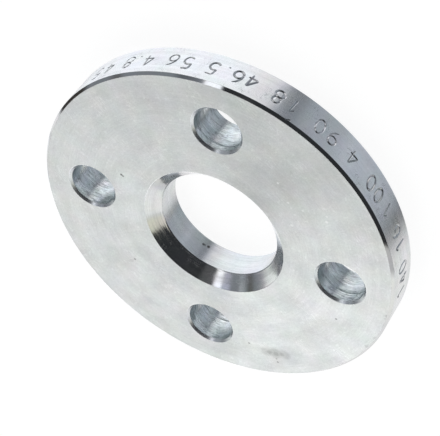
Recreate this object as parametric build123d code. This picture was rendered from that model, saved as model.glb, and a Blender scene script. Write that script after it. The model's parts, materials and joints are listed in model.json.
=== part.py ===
"""Loose plate flange for a lapped pipe joint.

One turned and drilled steel ring. It slides over a pipe and clamps the pipe's
lapped collar with bolts. The wide 45 degree chamfer at the bore's upper mouth
clears the collar's root radius. The ring lies on its plain back face: +Z is the
axis and points out of the lap face, and the origin is the centre of the back face.
"""

from build123d import *
import os

# Plate, in millimetres.
outer_diameter = 140.0
thickness = 16.0
rim_chamfer = 1.0

# Central bore: a free-sliding fit over a 42.4 mm pipe.
bore_diameter = 46.5
lap_chamfer = 4.8
bore_back_chamfer = 1.0

# Bolt holes for M16 bolts, straddling the X and Y centre lines.
bolt_edge_distance = 20.0  # from a hole's centre out to the rim
bolt_hole_diameter = 18.0
bolt_hole_chamfer = 0.9
bolt_count = 4
first_bolt_angle = 45.0

outer_radius = outer_diameter / 2
bore_radius = bore_diameter / 2
bolt_hole_radius = bolt_hole_diameter / 2
bolt_circle_radius = outer_radius - bolt_edge_distance


def turned_ring():
    """The plate as it leaves the lathe: one section turned about the axis."""
    section = [
        (bore_radius + bore_back_chamfer, 0),
        (outer_radius - rim_chamfer, 0),
        (outer_radius, rim_chamfer),
        (outer_radius, thickness - rim_chamfer),
        (outer_radius - rim_chamfer, thickness),
        (bore_radius + lap_chamfer, thickness),
        (bore_radius, thickness - lap_chamfer),
        (bore_radius, bore_back_chamfer),
    ]
    with BuildPart() as ring:
        with BuildSketch(Plane.XZ):
            with BuildLine():
                Polyline(*section, close=True)
            make_face()
        revolve(axis=Axis.Z)
    return ring.part


def bolt_hole_cutter():
    """One drilled hole through the plate, with a 45 degree chamfer at each mouth."""
    mouth_radius = bolt_hole_radius + bolt_hole_chamfer
    profile = [
        (0, 0),
        (mouth_radius, 0),
        (bolt_hole_radius, bolt_hole_chamfer),
        (bolt_hole_radius, thickness - bolt_hole_chamfer),
        (mouth_radius, thickness),
        (0, thickness),
    ]
    with BuildPart() as cutter:
        with BuildSketch(Plane.XZ):
            with BuildLine():
                Polyline(*profile, close=True)
            make_face()
        revolve(axis=Axis.Z)
    return cutter.part


def loose_flange():
    """The turned ring with its circle of bolt holes."""
    holes = PolarLocations(bolt_circle_radius, bolt_count, first_bolt_angle)
    flange = turned_ring() - [place * bolt_hole_cutter() for place in holes]
    flange.label = "loose_flange"
    return flange


os.makedirs("parts", exist_ok=True)
export_step(loose_flange(), "parts/loose_flange.step")
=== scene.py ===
"""Looks of a loose plate flange: zinc-plated turned steel, stamped on the rim.

The flange lies on its back face, with +Z out of the lap face. One mesh stands for
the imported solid. It has the same form, with the small edge rounds, the stamped
figures and the nicks that the solid leaves out. Lengths are in metres.
"""

import json
import logging
import math
import random
from dataclasses import dataclass
from enum import Enum

import bmesh
import bpy
from mathutils import Matrix, Vector


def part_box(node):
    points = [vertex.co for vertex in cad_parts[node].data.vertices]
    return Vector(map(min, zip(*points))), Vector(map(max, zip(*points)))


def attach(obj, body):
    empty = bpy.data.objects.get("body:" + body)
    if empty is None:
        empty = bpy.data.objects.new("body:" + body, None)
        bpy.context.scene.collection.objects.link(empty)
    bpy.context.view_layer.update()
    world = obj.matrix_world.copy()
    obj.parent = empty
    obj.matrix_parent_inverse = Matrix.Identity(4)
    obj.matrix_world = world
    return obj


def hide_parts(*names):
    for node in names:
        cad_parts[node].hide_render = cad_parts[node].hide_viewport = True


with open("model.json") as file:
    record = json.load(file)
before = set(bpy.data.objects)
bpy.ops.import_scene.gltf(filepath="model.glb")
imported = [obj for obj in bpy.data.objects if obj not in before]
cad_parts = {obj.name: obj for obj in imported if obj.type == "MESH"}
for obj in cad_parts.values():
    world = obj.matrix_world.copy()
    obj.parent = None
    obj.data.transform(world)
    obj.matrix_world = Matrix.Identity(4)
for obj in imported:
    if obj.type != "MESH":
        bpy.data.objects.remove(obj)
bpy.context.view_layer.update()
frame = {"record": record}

log = logging.getLogger("flange")

NODE = "loose_flange"
BODY = "root"
MM = 0.001
SAME_PLACE = 0.001 * MM

Point = tuple[float, float]
Colour = tuple[float, float, float, float]
Output = bpy.types.NodeSocket
Outputs = bpy.types.NodeOutputs
Value = Output | float | tuple | str | bool


class Socket(Enum):
    """Kinds of socket that a shared effect has."""

    VALUE = "NodeSocketFloat"
    VECTOR = "NodeSocketVector"
    COLOUR = "NodeSocketColor"


class Region(Enum):
    """Machined regions of the flange. The value is the region's material index."""

    LAP_FACE = 0
    RIM = 1
    RIM_CHAMFER = 2
    LAP_CHAMFER = 3
    BORE = 4
    BOLT_HOLE = 5
    HOLE_CHAMFER = 6
    STAMPING = 7


def polar(radius: float, angle: float) -> Vector:
    """Returns the point at a radius and an angle about the Z axis."""
    return Vector((math.cos(angle), math.sin(angle), 0)) * radius


def link(made: bpy.types.Object) -> None:
    """Links a new object to the scene."""
    bpy.context.scene.collection.objects.link(made)


@dataclass(frozen=True)
class FlangeSizes:
    """Sizes of the flange, in metres, with the axis on Z and the back face at zero."""

    outer_radius: float
    thickness: float
    bore_radius: float
    lap_chamfer: float
    bore_back_chamfer: float
    bolt_circle_radius: float
    bolt_hole_radius: float
    bolt_count: int
    first_bolt_angle: float = math.radians(45)
    rim_chamfer: float = 1.0 * MM
    bolt_hole_chamfer: float = 0.9 * MM
    edge_round: float = 0.07 * MM

    @classmethod
    def from_frame(cls) -> "FlangeSizes":
        """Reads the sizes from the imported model's box and mounts.

        Returns:
            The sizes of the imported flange.
        """
        low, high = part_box(NODE)
        mounts = {mount["name"]: mount for mount in frame["record"]["mounts"]}
        bore, bolts = mounts["bore"], mounts["bolt_holes"]
        wall_middle = bore["pos_m"][2]
        half_wall = bore["dims"]["length_mm"] * MM / 2
        return cls(
            outer_radius=high.x,
            thickness=high.z - low.z,
            bore_radius=bore["dims"]["r_mm"] * MM,
            lap_chamfer=high.z - wall_middle - half_wall,
            bore_back_chamfer=wall_middle - half_wall - low.z,
            bolt_circle_radius=bolts["dims"]["pcd_mm"] * MM / 2,
            bolt_hole_radius=bolts["dims"]["hole_r_mm"] * MM,
            bolt_count=bolts["dims"]["count"],
        )

    def bolt_centres(self) -> list[Vector]:
        """Returns the bolt holes' centres on the back face."""
        turn = math.tau / self.bolt_count
        angles = (self.first_bolt_angle + turn * k for k in range(self.bolt_count))
        return [polar(self.bolt_circle_radius, angle) for angle in angles]


SIZES = FlangeSizes.from_frame()


@dataclass(frozen=True)
class Line:
    """A straight stroke of a figure, between two points of its cell.

    Its depth is full from end_run inwards, or from run_limit of a short stroke's length.
    """

    start: Point
    end: Point
    end_run: float = 0.08
    run_limit: float = 0.3

    def points(self) -> list[Point]:
        """Lays out the stroke.

        Returns:
            Its two ends and, between them, the points where it reaches its full depth.
        """
        start, end = Vector(self.start), Vector(self.end)
        run = min(self.run_limit, self.end_run / (end - start).length)
        return [tuple(start.lerp(end, share)) for share in (0, run, 1 - run, 1)]


@dataclass(frozen=True)
class Arc:
    """A round stroke: part of an ellipse, from one angle to another in steps, in degrees."""

    centre: Point
    radii: Point
    start: float
    end: float
    step: float = 18.0

    def points(self) -> list[Point]:
        """Lays out the stroke.

        Returns:
            Points along the arc, evenly spaced by angle.
        """
        sweep = self.end - self.start
        count = max(2, round(abs(sweep) / self.step))
        angles = [math.radians(self.start + sweep * k / count) for k in range(count + 1)]
        (cx, cy), (rx, ry) = self.centre, self.radii
        return [(cx + rx * math.cos(a), cy + ry * math.sin(a)) for a in angles]


Stroke = Line | Arc

# Strokes of the stamped figures, in a cell of height 1 with its lower left corner at zero.
FIGURES: dict[str, tuple[Stroke, ...]] = {
    "0": (Arc((0.29, 0.50), (0.27, 0.50), 90, 450),),
    "1": (Line((0.10, 0.76), (0.33, 1.0)), Line((0.33, 1.0), (0.33, 0.0))),
    "4": (
        Line((0.42, 1.0), (0.0, 0.30)),
        Line((0.0, 0.30), (0.60, 0.30)),
        Line((0.42, 1.0), (0.42, 0.0)),
    ),
    "5": (
        Line((0.53, 1.0), (0.12, 1.0)),
        Line((0.12, 1.0), (0.07, 0.53)),
        Arc((0.27, 0.31), (0.28, 0.31), 132, -145),
    ),
    "6": (Arc((0.29, 0.29), (0.27, 0.29), 90, 450), Arc((0.62, 0.29), (0.60, 0.71), 105, 180)),
    "8": (Arc((0.29, 0.75), (0.22, 0.25), 90, 450), Arc((0.29, 0.26), (0.28, 0.26), 90, 450)),
    "9": (Arc((0.29, 0.71), (0.27, 0.29), 90, 450), Arc((-0.04, 0.71), (0.60, 0.71), -75, 0)),
    ".": (Line((0.0, 0.02), (0.0, 0.12)),),
}


@dataclass(frozen=True)
class RimStamping:
    """Plain figures struck by hand into the rim, each stroke a V groove with dented shoulders.

    They give the flange's own sizes, in millimetres and degrees, and read with the lap face up.
    The nick is a knock across the edge between the rim and the lap face.
    """

    numbers: tuple[str, ...] = ("140", "16", "100", "4", "90", "18", "46.5", "56", "4.8", "45")
    figure_height: float = 6.1 * MM
    base_height: float = 5.3 * MM
    pitch: float = 5.7 * MM
    point_pitch: float = 2.6 * MM
    number_gap: float = 4.6 * MM
    start_angle: float = math.radians(-47)
    groove_width: float = 0.64 * MM
    groove_depth: float = 0.42 * MM
    shoulder_width: float = 1.2 * MM
    shoulder_depth: float = 0.07 * MM
    nick_angle: float = math.radians(24.0)
    nick: Line = Line((-0.9 * MM, 14.3 * MM), (0.9 * MM, 15.2 * MM), end_run=0.2 * MM)
    sideways_drift: float = 0.35 * MM
    height_drift: float = 0.35 * MM
    tilt_drift: float = math.radians(5)
    end_taper: float = 0.45
    press_drift: float = 0.22
    seed: int = 5

    def strokes(self, rim_radius: float) -> list[list[Vector]]:
        """Lays out the figures and the nick on the unrolled rim.

        Args:
            rim_radius: Radius of the rim.

        Returns:
            One list of points for each stroke: x along the rim, y up the rim and, as z,
            the share of the full groove that the punch left there.
        """
        drift = random.Random(self.seed)
        laid: list[list[Vector]] = []
        along = 0.0
        for number in self.numbers:
            for figure in number:
                place = Matrix.Translation((
                    along + drift.uniform(-1, 1) * self.sideways_drift,
                    self.base_height + drift.uniform(-1, 1) * self.height_drift,
                    0,
                ))
                turn = Matrix.Rotation(drift.uniform(-1, 1) * self.tilt_drift, 4, "Z")
                to_rim = place @ turn @ Matrix.Scale(self.figure_height, 4)
                foot, head = (1 + drift.uniform(-1, 1) * self.press_drift for _ in range(2))
                for stroke in FIGURES[figure]:
                    laid.append([])
                    for x, y in stroke.points():
                        struck = to_rim @ Vector((x, y, 0))
                        laid[-1].append(Vector((struck.x, struck.y, foot + (head - foot) * y)))
                along += self.point_pitch if figure == "." else self.pitch
            along += self.number_gap
        nick_along = (self.nick_angle - self.start_angle) * rim_radius
        laid.append([Vector((nick_along + x, y, 1)) for x, y in self.nick.points()])
        return laid

    def groove_section(self) -> bpy.types.Object:
        """Draws the section that each stroke is swept with.

        Returns:
            A curve object, a V groove with its shoulders and the open side up.
        """
        curve = bpy.data.curves.new("groove_section", "CURVE")
        curve.dimensions = "2D"
        spline = curve.splines.new("POLY")
        corners = (
            (-self.shoulder_width / 2, self.shoulder_depth),
            (-self.groove_width / 2, -self.shoulder_depth),
            (0.0, -self.groove_depth),
            (self.groove_width / 2, -self.shoulder_depth),
            (self.shoulder_width / 2, self.shoulder_depth),
        )
        spline.points.add(len(corners) - 1)
        for point, (x, y) in zip(spline.points, corners):
            point.co = (x, y, 0, 1)
        spline.use_cyclic_u = True
        return bpy.data.objects.new("groove_section", curve)

    def cutter(self, rim_radius: float) -> bpy.types.Object:
        """Builds one mesh of all the grooves, wrapped round the rim.

        Args:
            rim_radius: Radius of the rim.

        Returns:
            An object that is not linked to the scene, to cut the flange with.
        """
        curve = bpy.data.curves.new("stamping_strokes", "CURVE")
        curve.dimensions = "3D"
        curve.twist_mode = "Z_UP"
        curve.bevel_mode = "OBJECT"
        curve.bevel_object = self.groove_section()
        curve.use_fill_caps = True
        for points in self.strokes(rim_radius):
            spline = curve.splines.new("POLY")
            closed = (points[0] - points[-1]).length < SAME_PLACE
            kept = points[:-1] if closed else points
            spline.points.add(len(kept) - 1)
            for point, (along, up, press) in zip(spline.points, kept):
                point.co = (along, up, 0, 1)
                point.radius = press
            spline.use_cyclic_u = closed
            if not closed:
                spline.points[0].radius *= self.end_taper
                spline.points[-1].radius *= self.end_taper
        strokes = bpy.data.objects.new("stamping_strokes", curve)
        helpers = [strokes, curve.bevel_object]
        for helper in helpers:
            link(helper)
        graph = bpy.context.evaluated_depsgraph_get()
        mesh = bpy.data.meshes.new_from_object(strokes.evaluated_get(graph))
        bm = bmesh.new()
        bm.from_mesh(mesh)
        bmesh.ops.remove_doubles(bm, verts=bm.verts, dist=SAME_PLACE)
        bmesh.ops.holes_fill(bm, edges=[edge for edge in bm.edges if edge.is_boundary])
        bmesh.ops.recalc_face_normals(bm, faces=bm.faces)
        for vertex in bm.verts:
            along, up, out = vertex.co
            angle = self.start_angle + along / rim_radius
            radius = rim_radius + out
            vertex.co = (radius * math.cos(angle), radius * math.sin(angle), up)
        bm.to_mesh(mesh)
        bm.free()
        made = bpy.data.objects.new("stamping_cutter", mesh)
        for helper in helpers:
            bpy.data.objects.remove(helper)
        return made


@dataclass(frozen=True)
class Corner:
    """A point of a turned section: its radius, its height and whether it is rounded."""

    radius: float
    height: float
    rounded: bool = False


@dataclass(frozen=True)
class DrillScores:
    """Rings scored into the bolt holes' walls, with one deep ring in some of them.

    Each ring is from shallowest, a share, up to the full depth.
    """

    pitch: float = 0.95 * MM
    pitch_drift: float = 0.3
    depth: float = 0.055 * MM
    shallowest: float = 0.25
    deep_heights: tuple[float | None, ...] = (12.9 * MM, None, 5.2 * MM, 11.3 * MM)
    deep_width: float = 0.55 * MM
    deep_depth: float = 0.16 * MM
    seed: int = 11

    def corners(self, hole: int, radius: float, low: float, high: float) -> list[Corner]:
        """Lays out one hole's rings.

        Args:
            hole: Number of the hole, from 0.
            radius: The hole's radius.
            low: Height where the plain wall starts.
            high: Height where it ends.

        Returns:
            The section's points between those heights, rising.
        """
        drift = random.Random(self.seed + hole)
        deep = self.deep_heights[hole]
        half_width = self.deep_width / 2
        rings = []
        height = low + self.pitch
        while height < high - self.pitch:
            crest = Corner(radius, height - self.pitch / 2)
            valley = Corner(radius + drift.uniform(self.shallowest, 1) * self.depth, height)
            if deep is None or abs(height - deep) > self.pitch:
                rings += [crest, valley]
            height += self.pitch * drift.uniform(1 - self.pitch_drift, 1 + self.pitch_drift)
        if deep is not None:
            places = ((deep - half_width, 0.0), (deep, self.deep_depth), (deep + half_width, 0.0))
            rings += [Corner(radius + cut, place) for place, cut in places]
        return sorted(rings, key=lambda corner: corner.height)


@dataclass(frozen=True)
class FlangeBody:
    """The flange's mesh: turned strips joined by the two flat faces.

    A face is flat above flat_slope and upright below wall_slope, which are the heights
    of its unit normal. Land is the flat ring at a strip's end, where the flat face starts.
    """

    sizes: FlangeSizes
    stamping: RimStamping
    scores: DrillScores = DrillScores()
    turn_steps: int = 360
    hole_steps: int = 96
    land: float = 0.4 * MM
    round_segments: int = 3
    ring_line_rise: float = 0.9 * MM
    ring_line_width: float = 0.28 * MM
    ring_line_depth: float = 0.018 * MM
    flat_slope: float = 0.93
    wall_slope: float = 0.38
    sharp_angle: float = math.radians(32)
    flat_weight: int = 60

    def turned_strip(
        self,
        bm: bmesh.types.BMesh,
        section: list[Corner],
        centre: Vector,
        steps: int,
    ) -> None:
        """Spins an open section about a vertical axis, once its sharp corners are rounded.

        Args:
            bm: Mesh to add the strip to.
            section: Corners from one flat face to the other.
            centre: A point of the axis.
            steps: Number of steps round the axis.
        """
        corners = [bm.verts.new((centre.x + at.radius, centre.y, at.height)) for at in section]
        for pair in zip(corners, corners[1:]):
            bm.edges.new(pair)
        bmesh.ops.bevel(
            bm,
            geom=[vertex for vertex, at in zip(corners, section) if at.rounded],
            offset=self.sizes.edge_round,
            offset_type="OFFSET",
            segments=self.round_segments,
            profile=0.5,
            affect="VERTICES",
            material=-1,
        )
        edges = [edge for edge in bm.edges if edge.is_wire]
        points = dict.fromkeys(vertex for edge in edges for vertex in edge.verts)
        bmesh.ops.spin(
            bm,
            geom=[*points, *edges],
            cent=centre,
            axis=(0, 0, 1),
            angle=math.tau,
            steps=steps,
            use_merge=True,
        )

    def outer_section(self) -> list[Corner]:
        """Draws the section over the rim.

        Returns:
            Its corners, from the lap face to the back face.
        """
        s = self.sizes
        flat_end = s.outer_radius - s.rim_chamfer - self.land
        return [
            Corner(flat_end, s.thickness),
            Corner(s.outer_radius - s.rim_chamfer, s.thickness, rounded=True),
            Corner(s.outer_radius, s.thickness - s.rim_chamfer, rounded=True),
            Corner(s.outer_radius, s.rim_chamfer, rounded=True),
            Corner(s.outer_radius - s.rim_chamfer, 0, rounded=True),
            Corner(flat_end, 0),
        ]

    def ring_line(self) -> list[Corner]:
        """Draws the shallow groove round the lap chamfer, just above the bore's edge.

        Returns:
            Its three corners, rising.
        """
        s = self.sizes
        foot = Vector((s.bore_radius, s.thickness - s.lap_chamfer))
        up_slope, into_steel = Vector((1, 1)).normalized(), Vector((1, -1)).normalized()
        places = (
            (self.ring_line_rise - self.ring_line_width / 2, 0.0),
            (self.ring_line_rise, self.ring_line_depth),
            (self.ring_line_rise + self.ring_line_width / 2, 0.0),
        )
        return [Corner(*(foot + up_slope * rise + into_steel * cut)) for rise, cut in places]

    def bore_section(self) -> list[Corner]:
        """Draws the section through the bore.

        Returns:
            Its corners, from the back face to the lap face.
        """
        s = self.sizes
        return [
            Corner(s.bore_radius + s.bore_back_chamfer + self.land, 0),
            Corner(s.bore_radius + s.bore_back_chamfer, 0, rounded=True),
            Corner(s.bore_radius, s.bore_back_chamfer, rounded=True),
            Corner(s.bore_radius, s.thickness - s.lap_chamfer, rounded=True),
            *self.ring_line(),
            Corner(s.bore_radius + s.lap_chamfer, s.thickness, rounded=True),
            Corner(s.bore_radius + s.lap_chamfer + self.land, s.thickness),
        ]

    def bolt_hole_section(self, hole: int) -> list[Corner]:
        """Draws the section through a bolt hole.

        Args:
            hole: Number of the hole, from 0.

        Returns:
            Its corners, from the back face to the lap face, with the drill's score rings.
        """
        s = self.sizes
        mouth = s.bolt_hole_radius + s.bolt_hole_chamfer
        low, high = s.bolt_hole_chamfer, s.thickness - s.bolt_hole_chamfer
        return [
            Corner(mouth + self.land, 0),
            Corner(mouth, 0, rounded=True),
            Corner(s.bolt_hole_radius, low, rounded=True),
            *self.scores.corners(hole, s.bolt_hole_radius, low, high),
            Corner(s.bolt_hole_radius, high, rounded=True),
            Corner(mouth, s.thickness, rounded=True),
            Corner(mouth + self.land, s.thickness),
        ]

    def close_flat_face(self, bm: bmesh.types.BMesh, height: float) -> None:
        """Fills the flat face at a height, between the open edges of the strips there.

        Args:
            bm: Mesh that holds the strips.
            height: Height of the face.
        """
        open_edges = [
            edge
            for edge in bm.edges
            if edge.is_boundary and all(abs(v.co.z - height) < SAME_PLACE for v in edge.verts)
        ]
        bmesh.ops.triangle_fill(bm, use_beauty=True, edges=open_edges, normal=(0, 0, 1))

    def settle_order(self, bm: bmesh.types.BMesh) -> None:
        """Sorts the edges and faces by their vertices, so that each run gives the same mesh.

        Args:
            bm: Mesh to sort. Its vertices are in the same order in each run as it is.
        """
        bm.verts.index_update()
        for parts in (bm.edges, bm.faces):
            ordered = sorted(parts, key=lambda part: sorted(vertex.index for vertex in part.verts))
            for place, part in enumerate(ordered):
                part.index = place
            parts.sort()

    def region_of(self, face: bmesh.types.BMFace) -> Region:
        """Says which machined region a face of the uncut flange belongs to.

        Args:
            face: A face of the mesh, with its normal up to date.

        Returns:
            The region that gives the face its finish.
        """
        s = self.sizes
        centre = face.calc_center_median()
        slope = abs(face.normal.z)
        radius = centre.xy.length
        from_faces = min(centre.z, s.thickness - centre.z)
        if slope > self.flat_slope and from_faces < s.edge_round:
            return Region.LAP_FACE
        if radius > s.outer_radius - 2 * s.rim_chamfer:
            return Region.RIM if slope < self.wall_slope else Region.RIM_CHAMFER
        if radius < s.bore_radius + s.lap_chamfer + self.land:
            in_chamfer = centre.z > s.thickness - s.lap_chamfer
            return Region.LAP_CHAMFER if in_chamfer else Region.BORE
        return Region.BOLT_HOLE if from_faces > s.bolt_hole_chamfer else Region.HOLE_CHAMFER

    def plain_mesh(self) -> bpy.types.Mesh:
        """Builds the closed flange without its stamping.

        Returns:
            A mesh with one material index to each region.
        """
        bm = bmesh.new()
        axis = Vector((0, 0, 0))
        self.turned_strip(bm, self.outer_section(), axis, self.turn_steps)
        self.turned_strip(bm, self.bore_section(), axis, self.turn_steps)
        for hole, centre in enumerate(self.sizes.bolt_centres()):
            self.turned_strip(bm, self.bolt_hole_section(hole), centre, self.hole_steps)
        self.settle_order(bm)
        for height in (self.sizes.thickness, 0):
            self.close_flat_face(bm, height)
            self.settle_order(bm)
        bmesh.ops.recalc_face_normals(bm, faces=bm.faces)
        bm.normal_update()
        for face in bm.faces:
            face.material_index = self.region_of(face).value
            face.smooth = True
        open_edges = sum(edge.is_boundary for edge in bm.edges)
        log.info("flange blank: %d faces, %d open edges", len(bm.faces), open_edges)
        mesh = bpy.data.meshes.new("zinc_flange")
        bm.to_mesh(mesh)
        bm.free()
        return mesh

    def build(self, materials: dict[Region, bpy.types.Material]) -> bpy.types.Object:
        """Builds the flange, cuts the stamping and finishes its normals.

        Args:
            materials: The material of each region.

        Returns:
            The finished object, at the origin.
        """
        blank = self.plain_mesh()
        for region in Region:
            blank.materials.append(materials[region])
        flange = bpy.data.objects.new("zinc_flange", blank)
        link(flange)
        cutter = self.stamping.cutter(self.sizes.outer_radius)
        cutter.data.materials.append(materials[Region.STAMPING])
        link(cutter)
        cut = flange.modifiers.new("stamping", "BOOLEAN")
        cut.operation = "DIFFERENCE"
        cut.solver = "EXACT"
        cut.use_self = True
        cut.material_mode = "TRANSFER"
        cut.object = cutter
        graph = bpy.context.evaluated_depsgraph_get()
        stamped = bpy.data.meshes.new_from_object(flange.evaluated_get(graph))
        flange.modifiers.clear()
        bpy.data.objects.remove(cutter)
        flange.data = stamped
        bpy.data.meshes.remove(blank)
        stamped.name = "zinc_flange"
        stamped.shade_smooth()
        stamped.set_sharp_from_angle(angle=self.sharp_angle)
        even = flange.modifiers.new("flat_areas_lead", "WEIGHTED_NORMAL")
        even.mode = "FACE_AREA"
        even.weight = self.flat_weight
        even.keep_sharp = True
        return flange


class NodeSheet:
    """A node tree with short ways to add and join its nodes."""

    def __init__(self, tree: bpy.types.NodeTree) -> None:
        """Empties a node tree and keeps it.

        Args:
            tree: The tree to fill.
        """
        self.tree = tree
        tree.nodes.clear()

    def join(self, value: Value, socket: Output) -> None:
        """Joins a socket to an input, or sets the input where the value is plain.

        Args:
            value: A socket, or a plain value.
            socket: The input.
        """
        if isinstance(value, Output):
            self.tree.links.new(value, socket)
        else:
            socket.default_value = value

    def add(self, kind: str, inputs: dict[str | int, Value], **settings: Value) -> bpy.types.Node:
        """Adds a node.

        Args:
            kind: Type of the node, such as ShaderNodeMath.
            inputs: A socket to join or a value to set, for each input's name or place.
            settings: Properties of the node, set before its inputs.

        Returns:
            The new node.
        """
        node = self.tree.nodes.new(kind)
        for name, setting in settings.items():
            setattr(node, name, setting)
        for key, value in inputs.items():
            self.join(value, node.inputs[key])
        return node

    def math(self, operation: str, *values: Value) -> Output:
        """Returns the result of a Math node on the given values."""
        return self.add("ShaderNodeMath", dict(enumerate(values)), operation=operation).outputs[0]

    def plus(self, first: Value, second: Value) -> Output:
        """Adds two values."""
        return self.math("ADD", first, second)

    def minus(self, first: Value, second: Value) -> Output:
        """Takes the second value from the first."""
        return self.math("SUBTRACT", first, second)

    def times(self, first: Value, second: Value) -> Output:
        """Multiplies two values."""
        return self.math("MULTIPLY", first, second)

    def vector_math(self, operation: str, *values: Value) -> bpy.types.Node:
        """Returns a Vector Math node on the given vectors."""
        return self.add("ShaderNodeVectorMath", dict(enumerate(values)), operation=operation)

    def vector(self, x: Value, y: Value, z: Value) -> Output:
        """Joins three values to one vector."""
        return self.add("ShaderNodeCombineXYZ", {0: x, 1: y, 2: z}).outputs[0]

    def parts(self, vector: Value) -> tuple[Output, ...]:
        """Splits a vector into its three values."""
        return tuple(self.add("ShaderNodeSeparateXYZ", {0: vector}).outputs)

    def smooth(self, value: Value, low: Value, high: Value) -> Output:
        """Returns a smooth step of a value, 0 up to low and 1 from high on."""
        inputs = {"Value": value, "From Min": low, "From Max": high}
        return self.add("ShaderNodeMapRange", inputs, interpolation_type="SMOOTHSTEP").outputs[0]

    def span(self, value: Value, low: Value, high: Value) -> Output:
        """Spreads a value that runs from 0 to 1 over another range."""
        inputs = {"Value": value, "To Min": low, "To Max": high}
        return self.add("ShaderNodeMapRange", inputs, clamp=True).outputs[0]

    def blend(self, share: Value, first: Value, second: Value) -> Output:
        """Mixes two colours by a share of the second."""
        inputs = {0: share, 6: first, 7: second}
        return self.add("ShaderNodeMix", inputs, data_type="RGBA").outputs[2]

    def noise(self, vector: Value, scale: Value, detail: float, roughness: float = 0.5) -> Output:
        """Returns noise about 0.5 over a vector."""
        inputs = {"Vector": vector, "Scale": scale, "Detail": detail, "Roughness": roughness}
        return self.add("ShaderNodeTexNoise", inputs).outputs[0]

    def scaled(self, vector: Value, factor: Value) -> Output:
        """Returns a vector or colour times a factor."""
        inputs = {0: vector, "Scale": factor}
        return self.add("ShaderNodeVectorMath", inputs, operation="SCALE").outputs[0]

    def about_one(self, value: Value, amount: Value) -> Output:
        """Turns a value about 0.5 into a factor about 1, which swings by half the amount."""
        return self.plus(1.0, self.times(self.minus(value, 0.5), amount))

    def effect(self, group: "Effect", **inputs: Value) -> bpy.types.Node:
        """Places a shared effect.

        Args:
            group: The effect.
            inputs: A socket or a value for each input, named in lower case.

        Returns:
            The effect's node.
        """
        node = self.add("ShaderNodeGroup", {}, node_tree=group.tree())
        for socket in node.inputs:
            key = socket.name.lower().replace(" ", "_")
            if key in inputs:
                self.join(inputs[key], socket)
        return node


class Effect:
    """A surface effect that several finishes share, kept as one node group."""

    name = "effect"
    inputs: dict[str, Socket] = {}
    outputs: dict[str, Socket] = {}

    def tree(self) -> bpy.types.NodeTree:
        """Finds the effect's node group, or builds it at its first use.

        Returns:
            The node group.
        """
        known = bpy.data.node_groups.get(self.name)
        if known:
            return known
        tree = bpy.data.node_groups.new(self.name, "ShaderNodeTree")
        for name, kind in self.inputs.items():
            tree.interface.new_socket(name, in_out="INPUT", socket_type=kind.value)
        for name, kind in self.outputs.items():
            tree.interface.new_socket(name, in_out="OUTPUT", socket_type=kind.value)
        sheet = NodeSheet(tree)
        given = sheet.add("NodeGroupInput", {}).outputs
        made = self.draw(sheet, given)
        result = sheet.add("NodeGroupOutput", {})
        for name, value in made.items():
            sheet.join(value, result.inputs[name])
        log.info("effect %s: %d nodes", self.name, len(tree.nodes))
        return tree

    def draw(self, sheet: NodeSheet, given: Outputs) -> dict[str, Value]:
        """Adds the effect's nodes.

        Args:
            sheet: The group's node sheet.
            given: The group's inputs, by name.

        Returns:
            A value for each output's name.
        """
        raise NotImplementedError


class TurningMarks(Effect):
    """Grooves left by the tool, ring by ring round an axis."""

    name = "turning_marks"
    inputs = {
        "Across": Socket.VALUE,
        "Around": Socket.VECTOR,
        "Pitch": Socket.VALUE,
        "Drift": Socket.VALUE,
    }
    outputs = {"Height": Socket.VALUE, "Streak": Socket.VALUE, "Score": Socket.VALUE}
    coarse_scale = 0.17
    coarse_share = 0.8
    streak_range = (0.7, 1.3)
    score_scale = 0.55
    score_width = 0.045

    def draw(self, sheet: NodeSheet, given: Outputs) -> dict[str, Value]:
        """Adds fine and coarse rings and thin score lines that change slowly round the axis.

        Args:
            sheet: The group's node sheet.
            given: The group's inputs, by name.

        Returns:
            The rings' height, how dull they are and a mask of the score lines.
        """
        rings = sheet.math("DIVIDE", given["Across"], given["Pitch"])
        x, y, _ = sheet.parts(sheet.vector_math("NORMALIZE", given["Around"]).outputs[0])
        x_slow = sheet.times(x, given["Drift"])
        y_slow = sheet.times(y, given["Drift"])
        place = sheet.vector(rings, x_slow, y_slow)
        fine = sheet.noise(place, 1.0, detail=2.0, roughness=0.6)
        coarse = sheet.noise(place, self.coarse_scale, detail=2.0)
        height = sheet.plus(fine, sheet.times(coarse, self.coarse_share))
        streak = sheet.smooth(sheet.plus(fine, coarse), *self.streak_range)
        lines = sheet.noise(place, self.score_scale, detail=1.0, roughness=0.6)
        level = sheet.math("ABSOLUTE", sheet.minus(lines, 0.5))
        score = sheet.minus(1.0, sheet.smooth(level, 0.0, self.score_width))
        return {"Height": height, "Streak": streak, "Score": score}


class MilkyBloom(Effect):
    """Soft cloudy patches of the zinc coat, with a mottle and a fine grain."""

    name = "milky_bloom"
    inputs = {"Place": Socket.VECTOR, "Patch": Socket.VALUE}
    outputs = {"Cloud": Socket.VALUE, "Mottle": Socket.VALUE, "Grain": Socket.VALUE}
    cloud_range = (0.3, 0.7)
    mottle_size = 1.5 * MM
    grain_size = 0.45 * MM

    def draw(self, sheet: NodeSheet, given: Outputs) -> dict[str, Value]:
        """Adds wide clouds, a mottle of about a millimetre and a grain finer than that.

        Args:
            sheet: The group's node sheet.
            given: The group's inputs, by name.

        Returns:
            The cloud, the mottle and the grain, each about 0.5.
        """
        scale = sheet.math("DIVIDE", 1.0, given["Patch"])
        cloud = sheet.noise(given["Place"], scale, detail=3.0, roughness=0.55)
        mottle = sheet.noise(given["Place"], 1 / self.mottle_size, detail=2.0, roughness=0.6)
        grain = sheet.noise(given["Place"], 1 / self.grain_size, detail=1.0)
        return {"Cloud": sheet.smooth(cloud, *self.cloud_range), "Mottle": mottle, "Grain": grain}


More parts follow.
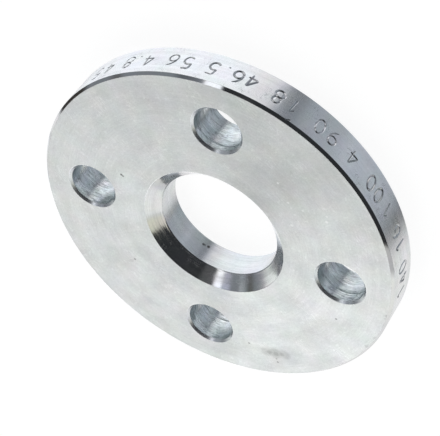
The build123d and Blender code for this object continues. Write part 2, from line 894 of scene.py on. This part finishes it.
class PassivationTint(Effect):
    """The faint play of colour, from yellow-green to violet, of the coat's clear film."""

    name = "passivation_tint"
    inputs = {
        "Colour": Socket.COLOUR,
        "Place": Socket.VECTOR,
        "Patch": Socket.VALUE,
        "Strength": Socket.VALUE,
    }
    outputs = {"Colour": Socket.COLOUR}

    def draw(self, sheet: NodeSheet, given: Outputs) -> dict[str, Value]:
        """Adds noise to each channel of the colour, each with its own pattern.

        Args:
            sheet: The group's node sheet.
            given: The group's inputs, by name.

        Returns:
            The colour with its tint.
        """
        scale = sheet.math("DIVIDE", 1.0, given["Patch"])
        inputs = {"Vector": given["Place"], "Scale": scale, "Detail": 2.0}
        hues = sheet.add("ShaderNodeTexNoise", inputs).outputs["Color"]
        centred = sheet.vector_math("SUBTRACT", hues, (0.5, 0.5, 0.5)).outputs[0]
        swing = sheet.scaled(centred, given["Strength"])
        factor = sheet.vector_math("ADD", swing, (1.0, 1.0, 1.0)).outputs[0]
        return {"Colour": sheet.vector_math("MULTIPLY", given["Colour"], factor).outputs[0]}


class Specks(Effect):
    """Small bright specks, where the coat has been knocked."""

    name = "specks"
    inputs = {"Place": Socket.VECTOR, "Size": Socket.VALUE}
    outputs = {"Mask": Socket.VALUE}
    top_range = (0.72, 0.80)

    def draw(self, sheet: NodeSheet, given: Outputs) -> dict[str, Value]:
        """Adds the few highest tops of a fine noise.

        Args:
            sheet: The group's node sheet.
            given: The group's inputs, by name.

        Returns:
            A mask of the specks.
        """
        scale = sheet.math("DIVIDE", 1.0, given["Size"])
        noise = sheet.noise(given["Place"], scale, detail=0.0)
        return {"Mask": sheet.smooth(noise, *self.top_range)}


class Scuffs(Effect):
    """Hairline scratches that run one way, in scattered patches."""

    name = "scuffs"
    inputs = {
        "Place": Socket.VECTOR,
        "Turn": Socket.VALUE,
        "Length": Socket.VALUE,
        "Amount": Socket.VALUE,
    }
    outputs = {"Mask": Socket.VALUE}
    slimness = 0.07
    rise_scale = 300.0
    hairline = 0.035
    patch_scale = 0.6
    patch_limit = 0.75
    amount_share = 0.3
    patch_edge = 0.08

    def draw(self, sheet: NodeSheet, given: Outputs) -> dict[str, Value]:
        """Adds stretched noise and keeps its thin ridges where a patch allows them.

        Args:
            sheet: The group's node sheet.
            given: The group's inputs, by name.

        Returns:
            A mask of the scratches.
        """
        inputs = {"Vector": given["Place"], "Angle": given["Turn"]}
        turned = sheet.add("ShaderNodeVectorRotate", inputs, rotation_type="Z_AXIS").outputs[0]
        x, y, z = sheet.parts(turned)
        along = sheet.math("DIVIDE", x, given["Length"])
        across = sheet.math("DIVIDE", y, sheet.times(given["Length"], self.slimness))
        stretched = sheet.vector(along, across, sheet.times(z, self.rise_scale))
        lines = sheet.noise(stretched, 1.0, detail=1.0)
        ridge = sheet.math("ABSOLUTE", sheet.minus(lines, 0.5))
        thin = sheet.minus(1.0, sheet.smooth(ridge, 0.0, self.hairline))
        scale = sheet.math("DIVIDE", self.patch_scale, given["Length"])
        patches = sheet.noise(given["Place"], scale, detail=1.0)
        limit = sheet.minus(self.patch_limit, sheet.times(given["Amount"], self.amount_share))
        allowed = sheet.smooth(patches, limit, sheet.plus(limit, self.patch_edge))
        return {"Mask": sheet.times(thin, allowed)}


class Spot(Effect):
    """One round mark at a place of the surface."""

    name = "spot"
    inputs = {"Place": Socket.VECTOR, "Centre": Socket.VECTOR, "Radius": Socket.VALUE}
    outputs = {"Mask": Socket.VALUE}
    core_share = 0.4

    def draw(self, sheet: NodeSheet, given: Outputs) -> dict[str, Value]:
        """Adds a soft disc about the centre.

        Args:
            sheet: The group's node sheet.
            given: The group's inputs, by name.

        Returns:
            A mask of the disc.
        """
        gap = sheet.vector_math("DISTANCE", given["Place"], given["Centre"]).outputs["Value"]
        inner = sheet.times(given["Radius"], self.core_share)
        return {"Mask": sheet.minus(1.0, sheet.smooth(gap, inner, given["Radius"]))}


class Grooves(Enum):
    """How the tool's grooves lie on a surface."""

    ON_FACE = "rings seen from above, apart by radius"
    ON_WALL = "rings up a wall, apart by height"


class Axis(Enum):
    """The axis that a surface was turned or drilled about."""

    FLANGE = "the flange's own axis"
    BOLT_HOLE = "the nearest bolt hole's axis"


@dataclass(frozen=True)
class SteelFinish:
    """A finish of the zinc-plated steel, as one tool left it.

    It goes from bright to dull, and from the first roughness to the second, with the
    tool's streaks and the coat's clouds. A loss or gain is a share of the colour.
    """

    name: str
    bright: Colour
    dull: Colour
    roughness: tuple[float, float]
    anisotropy: float
    grooves: Grooves
    axis: Axis = Axis.FLANGE
    mark_pitch: float = 0.25 * MM
    mark_depth: float = 0.002 * MM
    mark_drift: float = 0.8
    mark_slant: float = 0.0
    score_loss: float = 0.0
    streak_share: float = 0.3
    flank_lean: float = 0.0
    patch: float = 14 * MM
    mottle: float = 0.1
    grain: float = 0.1
    grain_depth: float = 0.001 * MM
    tint: float = 0.08
    tint_patch: float = 9 * MM
    speck_size: float = 1.1 * MM
    speck_gain: float = 0.05
    scuff_gain: float = 0.05
    scuff_length: float = 5 * MM
    scuff_amount: float = 0.3
    scuff_turn: float = math.radians(85)
    scuff_roughness: float = 0.06
    marks: tuple["Mark", ...] = ()

    def from_axis(self, sheet: NodeSheet, place: Value, sizes: FlangeSizes) -> Value:
        """Moves a place to the axis that the surface was cut about.

        Args:
            sheet: The material's node sheet.
            place: Place on the piece.
            sizes: Sizes of the flange.

        Returns:
            The place, seen from that axis.
        """
        if self.axis is Axis.FLANGE:
            return place
        folded = sheet.vector_math("ABSOLUTE", place).outputs[0]
        return sheet.vector_math("SUBTRACT", folded, tuple(sizes.bolt_centres()[0])).outputs[0]

    def material(self, sizes: FlangeSizes) -> bpy.types.Material:
        """Builds the finish's material.

        Args:
            sizes: Sizes of the flange, for the bolt holes' axes.

        Returns:
            The material, which reads the piece's own coordinates.
        """
        material = bpy.data.materials.new(self.name)
        material.use_nodes = True
        sheet = NodeSheet(material.node_tree)
        place = sheet.add("ShaderNodeTexCoord", {}).outputs["Object"]
        x, y, z = sheet.parts(self.from_axis(sheet, place, sizes))
        around = sheet.vector(x, y, 0.0)
        on_face = self.grooves is Grooves.ON_FACE
        slant = sheet.times(sheet.parts(place)[0], self.mark_slant)
        across = sheet.plus(z, slant)
        if on_face:
            across = sheet.vector_math("LENGTH", around).outputs["Value"]
        marks = sheet.effect(
            TurningMarks(),
            across=across,
            around=around,
            pitch=self.mark_pitch,
            drift=self.mark_drift,
        ).outputs
        bloom = sheet.effect(MilkyBloom(), place=place, patch=self.patch).outputs
        scuffs = sheet.effect(
            Scuffs(),
            place=place,
            turn=self.scuff_turn,
            length=self.scuff_length,
            amount=self.scuff_amount,
        ).outputs["Mask"]
        streak = sheet.times(marks["Streak"], self.streak_share)
        rest = sheet.times(bloom["Cloud"], 1.0 - self.streak_share)
        share = sheet.plus(streak, rest)
        rough = sheet.span(share, *self.roughness)
        rough = sheet.plus(rough, sheet.times(scuffs, self.scuff_roughness))
        leant = sheet.times(across, math.tan(self.flank_lean))
        relief = sheet.minus(sheet.times(marks["Height"], self.mark_depth), leant)
        relief = sheet.plus(relief, sheet.times(bloom["Mottle"], self.grain_depth))
        bump = sheet.add("ShaderNodeBump", {"Height": relief, "Distance": 1.0})
        way = around if on_face else sheet.vector(0.0, 0.0, 1.0)
        steel = sheet.add("ShaderNodeBsdfPrincipled", {
            "Base Color": self.colour(sheet, place, share, marks["Score"], bloom, scuffs),
            "Metallic": 1.0,
            "Roughness": rough,
            "Anisotropic": self.anisotropy,
            "Normal": bump.outputs[0],
            "Tangent": way,
        })
        sheet.add("ShaderNodeOutputMaterial", {"Surface": steel.outputs[0]})
        return material

    def colour(
        self,
        sheet: NodeSheet,
        place: Value,
        share: Value,
        score: Value,
        bloom: Outputs,
        scuffs: Value,
    ) -> Value:
        """Mixes the surface's colour.

        Args:
            sheet: The material's node sheet.
            place: Place on the piece.
            share: How dull the surface is, from 0 to 1.
            score: Mask of the thin score lines.
            bloom: Outputs of the milky bloom.
            scuffs: Mask of the scratches.

        Returns:
            The colour, with its mottle, tint, specks and marks.
        """
        colour = sheet.blend(share, self.bright, self.dull)
        colour = sheet.scaled(colour, sheet.about_one(bloom["Mottle"], self.mottle))
        colour = sheet.scaled(colour, sheet.about_one(bloom["Grain"], self.grain))
        kept = sheet.minus(1.0, sheet.times(score, self.score_loss))
        colour = sheet.scaled(colour, kept)
        specks = sheet.effect(Specks(), place=place, size=self.speck_size).outputs["Mask"]
        knocks = sheet.times(specks, self.speck_gain)
        wear = sheet.plus(knocks, sheet.times(scuffs, self.scuff_gain))
        colour = sheet.scaled(colour, sheet.plus(1.0, wear))
        inputs = {"colour": colour, "place": place, "patch": self.tint_patch, "strength": self.tint}
        colour = sheet.effect(PassivationTint(), **inputs).outputs[0]
        # Marks are pits, smudges and knocks, and some are patches of painted shade.
        for mark in self.marks:
            spot = sheet.effect(Spot(), place=place, centre=mark.centre, radius=mark.radius).outputs[0]
            colour = sheet.blend(sheet.times(spot, mark.strength), colour, mark.tone.value)
        return colour


class Tone(Enum):
    """Colours of the marks."""

    # Dark marks: real pits and dirt, and also two wide faint patches of painted shade on the lap face.
    DIRT = (0.12, 0.12, 0.115, 1.0)
    # Painted shade for the bolt holes' walls, standing in for dark reflections near their mouths.
    GREASE = (0.34, 0.38, 0.375, 1.0)
    KNOCK = (0.97, 0.98, 0.97, 1.0)


@dataclass(frozen=True)
class Mark:
    """A pit, smudge, bright knock or patch of painted shade: its centre and radius, how strong it is and
    its tone.
    """

    centre: tuple[float, float, float]
    radius: float
    strength: float
    tone: Tone

    @classmethod
    def on_face(cls, tone: Tone, *spots: tuple[float, ...]) -> tuple["Mark", ...]:
        """Places marks of one tone on the lap face.

        Args:
            tone: The marks' tone.
            spots: Each mark's x, y and radius in millimetres, and its strength.

        Returns:
            The marks.
        """
        height = SIZES.thickness
        return tuple(
            cls((x * MM, y * MM, height), radius * MM, strength, tone) for x, y, radius, strength in spots
        )

    @classmethod
    def in_bore(cls, *spots: tuple[float, ...]) -> tuple["Mark", ...]:
        """Places pits on the bore's wall.

        Args:
            spots: Each mark's angle in degrees, height and radius in millimetres, and strength.

        Returns:
            The marks.
        """
        marks = []
        for angle, height, radius, strength in spots:
            x, y, _ = polar(SIZES.bore_radius, math.radians(angle))
            marks.append(cls((x, y, height * MM), radius * MM, strength, Tone.DIRT))
        return tuple(marks)

    @classmethod
    def painted_shade_in_holes(cls, *spots: tuple[float, ...]) -> tuple["Mark", ...]:
        """Places patches of painted shade on the bolt holes' walls, dark where the walls mirror dark
        surroundings.

        Args:
            spots: Each mark's hole by number, and then the same values as in the bore.

        Returns:
            The marks.
        """
        marks = []
        for hole, angle, height, radius, strength in spots:
            x, y, _ = SIZES.bolt_centres()[hole] + polar(SIZES.bolt_hole_radius, math.radians(angle))
            marks.append(cls((x, y, height * MM), radius * MM, strength, Tone.GREASE))
        return tuple(marks)


FINISHES: dict[Region, SteelFinish] = {
    Region.LAP_FACE: SteelFinish(
        name="satin_turned_face",
        bright=(0.775, 0.79, 0.78, 1.0),
        dull=(0.715, 0.735, 0.725, 1.0),
        roughness=(0.50, 0.58),
        anisotropy=0.5,
        grooves=Grooves.ON_FACE,
        mark_pitch=0.6 * MM,
        mark_depth=0.004 * MM,
        mark_drift=4.0,
        score_loss=-0.04,
        flank_lean=math.radians(5.5),
        mottle=0.13,
        grain=0.2,
        grain_depth=0.006 * MM,
        speck_gain=0.07,
        scuff_gain=0.22,
        scuff_amount=0.7,
        marks=Mark.on_face(
            Tone.DIRT,
            (-18.0, 34.9, 0.65, 0.8), (-17.8, 34.1, 0.55, 0.7),
            # The next two wide faint marks are painted shade, darkening broad areas of the face in place
            # of a darker reflection.
            (34.0, 9.0, 18.0, 0.07), (17.0, -30.0, 16.0, 0.06),
            (-44.4, 1.3, 0.55, 0.7), (22.0, -49.0, 0.55, 0.6),
            (-24.8, -48.7, 0.55, 0.6), (-18.4, -58.8, 0.5, 0.45),
            (-19.0, -60.4, 0.6, 0.5), (-20.2, -54.5, 3.0, 0.16),
            (-16.8, -56.2, 3.6, 0.27), (-13.0, -58.2, 3.2, 0.21),
            (-19.3, -55.0, 1.3, 0.18), (-16.6, -56.6, 1.5, 0.24),
            (-14.2, -57.6, 1.3, 0.18), (-46.4, 1.2, 1.1, 0.12),
            (43.4, -53.8, 1.2, 0.28), (41.9, -54.8, 0.9, 0.22),
            (31.6, -61.5, 1.4, 0.22), (25.4, -63.7, 1.2, 0.2),
        ) + Mark.on_face(
            Tone.KNOCK,
            (42.8, 9.2, 0.65, 0.8), (40.7, 1.0, 0.6, 0.7),
            (40.1, -1.4, 0.6, 0.4), (39.5, -4.2, 0.6, 0.4),
            (43.8, -3.8, 0.7, 0.5), (35.0, -7.6, 0.8, 0.6),
            (51.1, -9.0, 0.6, 0.6), (49.4, -10.9, 0.8, 0.8),
            (-50.3, -4.2, 0.6, 0.4), (-50.0, -7.2, 0.6, 0.4),
        ),
    ),
    Region.RIM: SteelFinish(
        name="turned_rim",
        bright=(0.95, 0.955, 0.975, 1.0),
        dull=(0.87, 0.88, 0.895, 1.0),
        roughness=(0.2, 0.3),
        anisotropy=0.7,
        grooves=Grooves.ON_WALL,
        mark_pitch=0.4 * MM,
        mark_depth=0.006 * MM,
        score_loss=0.07,
        streak_share=0.7,
        tint=0.11,
        tint_patch=6 * MM,
        scuff_gain=-0.12,
        scuff_length=3 * MM,
        scuff_amount=0.7,
        scuff_roughness=0.2,
    ),
    Region.RIM_CHAMFER: SteelFinish(
        name="bright_rim_chamfer",
        bright=(0.87, 0.875, 0.885, 1.0),
        dull=(0.76, 0.765, 0.77, 1.0),
        roughness=(0.03, 0.08),
        anisotropy=0.4,
        grooves=Grooves.ON_WALL,
        mark_depth=0.001 * MM,
    ),
    Region.LAP_CHAMFER: SteelFinish(
        name="polished_lap_chamfer",
        bright=(0.88, 0.885, 0.895, 1.0),
        dull=(0.74, 0.745, 0.75, 1.0),
        roughness=(0.07, 0.20),
        anisotropy=0.5,
        grooves=Grooves.ON_WALL,
        mark_pitch=0.4 * MM,
        mark_depth=0.010 * MM,
        mark_drift=1.6,
        streak_share=0.85,
        tint=0.16,
        scuff_length=3 * MM,
        scuff_amount=0.6,
        scuff_roughness=0.14,
    ),
    Region.BORE: SteelFinish(
        name="bored_wall",
        bright=(0.87, 0.88, 0.895, 1.0),
        dull=(0.74, 0.76, 0.775, 1.0),
        roughness=(0.2, 0.3),
        anisotropy=0.2,
        grooves=Grooves.ON_WALL,
        mark_pitch=0.45 * MM,
        mark_depth=0.012 * MM,
        mark_drift=1.2,
        score_loss=0.05,
        streak_share=0.6,
        mottle=0.14,
        tint=0.14,
        marks=Mark.in_bore(
            (201.4, 4.5, 0.70, 0.9), (203.0, 4.3, 0.50, 0.7),
            (206.6, 4.1, 0.80, 0.97),
        ),
    ),
    Region.BOLT_HOLE: SteelFinish(
        name="drilled_wall",
        bright=(0.90, 0.935, 0.95, 1.0),
        dull=(0.62, 0.67, 0.685, 1.0),
        roughness=(0.24, 0.36),
        anisotropy=0.3,
        grooves=Grooves.ON_WALL,
        axis=Axis.BOLT_HOLE,
        mark_pitch=0.7 * MM,
        mark_depth=0.12 * MM,
        mark_drift=2.4,
        mark_slant=0.10,
        score_loss=0.34,
        streak_share=0.9,
        mottle=0.4,
        grain=0.35,
        grain_depth=0.06 * MM,
        tint=0.14,
        tint_patch=4 * MM,
        # Patches of painted shade near the holes' mouths at the lap face, standing in for dark
        # reflections.
        marks=Mark.painted_shade_in_holes(
            (0, 271, 14.6, 4.6, 0.85), (1, 265, 14.2, 5.6, 0.95),
            (3, 292, 15.0, 3.8, 0.5), (2, 269, 14.6, 3.8, 0.7),
            (0, 140, 14.5, 4.4, 0.6), (1, 128, 14.5, 3.6, 0.45),
            (3, 160, 14.0, 4.0, 0.6), (2, 152, 14.5, 3.6, 0.5),
        ),
    ),
    Region.HOLE_CHAMFER: SteelFinish(
        name="countersunk_edge",
        bright=(0.85, 0.875, 0.905, 1.0),
        dull=(0.74, 0.77, 0.80, 1.0),
        roughness=(0.22, 0.34),
        anisotropy=0.4,
        grooves=Grooves.ON_WALL,
        axis=Axis.BOLT_HOLE,
        mark_depth=0.004 * MM,
    ),
    Region.STAMPING: SteelFinish(
        name="struck_groove",
        bright=(0.84, 0.845, 0.86, 1.0),
        dull=(0.44, 0.45, 0.46, 1.0),
        roughness=(0.18, 0.32),
        anisotropy=0.0,
        grooves=Grooves.ON_WALL,
        mark_depth=0.001 * MM,
    ),
}


class Tint(Enum):
    """Slight tints of the surroundings."""

    NEUTRAL = (1.0, 1.0, 1.0)
    BLUISH = (0.97, 1.0, 1.04)
    COOL = (0.92, 1.0, 1.09)
    WARM = (1.1, 1.0, 0.9)
    CREAM = (1.0, 1.0, 0.85)
    LAVENDER = (0.98, 1.0, 1.18)
    ICY = (0.985, 1.0, 1.015)
    GREENISH = (0.95, 1.0, 0.95)
    PALE = (0.99, 1.0, 0.965)


def grey(level: float, tint: Tint = Tint.NEUTRAL) -> Colour:
    """Returns a grey of a level, with a slight tint."""
    return (*(level * channel for channel in tint.value), 1.0)


@dataclass(frozen=True)
class SoftCard:
    """A soft-edged patch of the surroundings, as the polished steel mirrors it.

    The angles are in degrees: the patch's middle, its half sizes and its edges' softness.
    Its lean is how far its middle moves sideways for each degree that it rises.
    """

    azimuth: float
    elevation: float
    half_width: float
    half_height: float
    edge: float
    level: float
    tint: Tint = Tint.NEUTRAL
    lean: float = 0.0

    def mask(self, sheet: NodeSheet, azimuth: Value, elevation: Value) -> Output:
        """Draws the patch over the directions of the surroundings.

        Args:
            sheet: The world's node sheet.
            azimuth: Azimuth of a direction.
            elevation: Elevation of a direction.

        Returns:
            The patch's mask.
        """
        rise = sheet.minus(elevation, math.radians(self.elevation))
        gap = sheet.minus(azimuth, math.radians(self.azimuth))
        leant = sheet.minus(gap, sheet.times(rise, self.lean))
        turned = sheet.math("ABSOLUTE", sheet.math("WRAP", leant, math.pi, -math.pi))
        raised = sheet.math("ABSOLUTE", rise)
        sides = []
        for value, half in ((turned, self.half_width), (raised, self.half_height)):
            low, high = math.radians(half - self.edge), math.radians(half + self.edge)
            sides.append(sheet.minus(1.0, sheet.smooth(value, low, high)))
        return sheet.times(*sides)


@dataclass(frozen=True)
class Studio:
    """A plain pale floor and soft surroundings, where a later card covers an earlier one.

    The floor's glow is the share of its plain white, which only the camera sees.
    """

    floor_radius: float = 4.0
    floor_segments: int = 64
    floor_paint: float = 0.95
    floor_drop: float = 0.02 * MM
    floor_glow: float = 0.7
    floor_white: float = 1.25
    base: Colour = grey(0.82)
    cards: tuple[SoftCard, ...] = (
        SoftCard(0, 90, 181, 19, 10, 0.42),
        SoftCard(-163, 28, 36, 14, 8, 1.8, Tint.ICY),
        SoftCard(165, 25, 25, 25, 10, 0.5),
        SoftCard(-96, 18, 16, 12, 8, 0.88, Tint.PALE),
        SoftCard(116, -45, 58, 45, 7, 1.04, Tint.BLUISH),
        SoftCard(110, -16, 62, 9, 4, 0.11, Tint.COOL),
        SoftCard(-166, -23, 8, 5, 4, 0.65, Tint.COOL),
        SoftCard(-160, -34, 10, 5, 3, 1.05),
        SoftCard(-24, -45, 63, 45, 8, 0.51, Tint.COOL),
        SoftCard(-36, -29, 20, 10, 3, 0.33, Tint.COOL),
        SoftCard(8, -45, 18, 45, 6, 0.37, Tint.COOL),
        SoftCard(-90, -33, 27, 7, 4, 0.82, Tint.PALE),
        SoftCard(-85, -50, 8, 9, 4, 0.52),
        SoftCard(-71, -62.5, 8, 25, 3, 0.0),
        SoftCard(-71, -10, 7, 14, 3, 0.08),
        SoftCard(28.3, -45, 7, 45, 5, 0.19, Tint.COOL),
        SoftCard(2, 2, 62, 24, 8, 0.2, Tint.COOL),
        SoftCard(-8, -13, 16, 7, 5, 0.66, Tint.COOL),
        SoftCard(-70, 21, 10, 8, 3, 0.5),
        SoftCard(-61, 42, 9, 13, 3, 0.66, Tint.CREAM, lean=0.8),
        SoftCard(97, 40, 17, 15, 2, 0.22, Tint.COOL, lean=0.8),
        SoftCard(128, 15, 18, 30, 3, 0.22, Tint.COOL, lean=-0.75),
        SoftCard(93, 43, 6, 4, 3, 0.5, Tint.LAVENDER),
        SoftCard(88, 34, 6, 4, 3, 0.13, Tint.COOL),
        SoftCard(127, 26, 4, 8, 3, 0.11),
        SoftCard(117, 35, 5, 3, 2, 0.42, Tint.COOL),
        SoftCard(137, 33, 6, 6, 3, 0.15, Tint.COOL),
        SoftCard(162, 9, 7.5, 7, 2, 0.93, Tint.GREENISH, lean=-1.2),
        SoftCard(149.5, 2.5, 7.5, 6.5, 2, 0.04, Tint.WARM, lean=-1.3),
        SoftCard(166, -9, 6, 5, 3, 0.84),
        SoftCard(79.5, 45, 7.5, 12, 2, 1.2, Tint.BLUISH, lean=1.55),
        SoftCard(-11.5, 45, 42.8, 21, 1.5, 0.028, Tint.COOL, lean=0.62),
        SoftCard(30, 45, 40.9, 21, 1.5, 0.028, Tint.COOL, lean=0.62),
        SoftCard(60, 51, 11, 4, 4, 0.11, Tint.BLUISH),
    )

    def world(self) -> None:
        """Gives the scene its surroundings."""
        world = bpy.data.worlds.new("studio")
        world.use_nodes = True
        bpy.context.scene.world = world
        sheet = NodeSheet(world.node_tree)
        direction = sheet.add("ShaderNodeTexCoord", {}).outputs["Generated"]
        x, y, z = sheet.parts(direction)
        azimuth = sheet.math("ARCTAN2", y, x)
        elevation = sheet.math("ARCSINE", z)
        colour: Value = self.base
        for card in self.cards:
            mask = card.mask(sheet, azimuth, elevation)
            colour = sheet.blend(mask, colour, grey(card.level, card.tint))
        seen = sheet.add("ShaderNodeLightPath", {}).outputs["Is Camera Ray"]
        white = sheet.blend(seen, colour, grey(1.0))
        background = sheet.add("ShaderNodeBackground", {"Color": white})
        sheet.add("ShaderNodeOutputWorld", {"Surface": background.outputs[0]})

    def floor(self) -> bpy.types.Object:
        """Lays the pale floor that the flange stands on.

        Returns:
            The floor's object, hidden from glossy and shadow rays.
        """
        bm = bmesh.new()
        size = {"radius": self.floor_radius, "segments": self.floor_segments}
        bmesh.ops.create_circle(bm, cap_ends=True, **size)
        bmesh.ops.translate(bm, verts=bm.verts, vec=(0, 0, -self.floor_drop))
        mesh = bpy.data.meshes.new("studio_floor")
        bm.to_mesh(mesh)
        bm.free()
        floor = bpy.data.objects.new("studio_floor", mesh)
        link(floor)
        floor.visible_glossy = False
        floor.visible_shadow = False
        mesh.materials.append(self.floor_material())
        return floor

    def floor_material(self) -> bpy.types.Material:
        """Builds the floor's white, which still takes the flange's soft shadow.

        Returns:
            The material.
        """
        material = bpy.data.materials.new("pale_floor")
        material.use_nodes = True
        sheet = NodeSheet(material.node_tree)
        seen = sheet.add("ShaderNodeLightPath", {}).outputs["Is Camera Ray"]
        strength = sheet.times(seen, self.floor_white)
        glow = sheet.add("ShaderNodeEmission", {"Color": grey(1.0), "Strength": strength}).outputs[0]
        paint = sheet.add("ShaderNodeBsdfDiffuse", {"Color": grey(self.floor_paint)}).outputs[0]
        mixed = sheet.add("ShaderNodeMixShader", {0: self.floor_glow, 1: paint, 2: glow}).outputs[0]
        sheet.add("ShaderNodeOutputMaterial", {"Surface": mixed})
        return material


@dataclass(frozen=True)
class Viewpoint:
    """The camera: where it stands, which way it looks and its lens."""

    location: tuple[float, float, float] = (0.407885, 0.169493, 0.362590)
    right: tuple[float, float, float] = (0.647660, -0.610226, -0.456245)
    up: tuple[float, float, float] = (0.246132, 0.734261, -0.632676)
    lens: float = 128.09
    sensor_width: float = 36.0

    def camera(self) -> bpy.types.Object:
        """Adds the camera and makes it the scene's own.

        Returns:
            The camera's object.
        """
        data = bpy.data.cameras.new("view")
        data.lens = self.lens
        data.sensor_width = self.sensor_width
        camera = bpy.data.objects.new("view", data)
        link(camera)
        right, up = Vector(self.right), Vector(self.up)
        turn = Matrix((right, up, right.cross(up))).transposed().to_4x4()
        camera.matrix_world = Matrix.Translation(self.location) @ turn
        bpy.context.scene.camera = camera
        return camera


def main() -> None:
    """Builds the flange, its studio and the camera."""
    logging.basicConfig(level=logging.INFO, format="%(name)s: %(message)s")
    bpy.context.scene.view_settings.view_transform = "Standard"
    log.info("sizes %s", SIZES)
    materials = {region: FINISHES[region].material(SIZES) for region in Region}
    flange = FlangeBody(SIZES, RimStamping()).build(materials)
    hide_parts(NODE)
    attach(flange, BODY)
    log.info("flange: %d faces", len(flange.data.polygons))
    studio = Studio()
    studio.world()
    log.info("floor %s", studio.floor().name)
    log.info("camera %s", Viewpoint().camera().name)


if __name__ == "__main__":
    main()
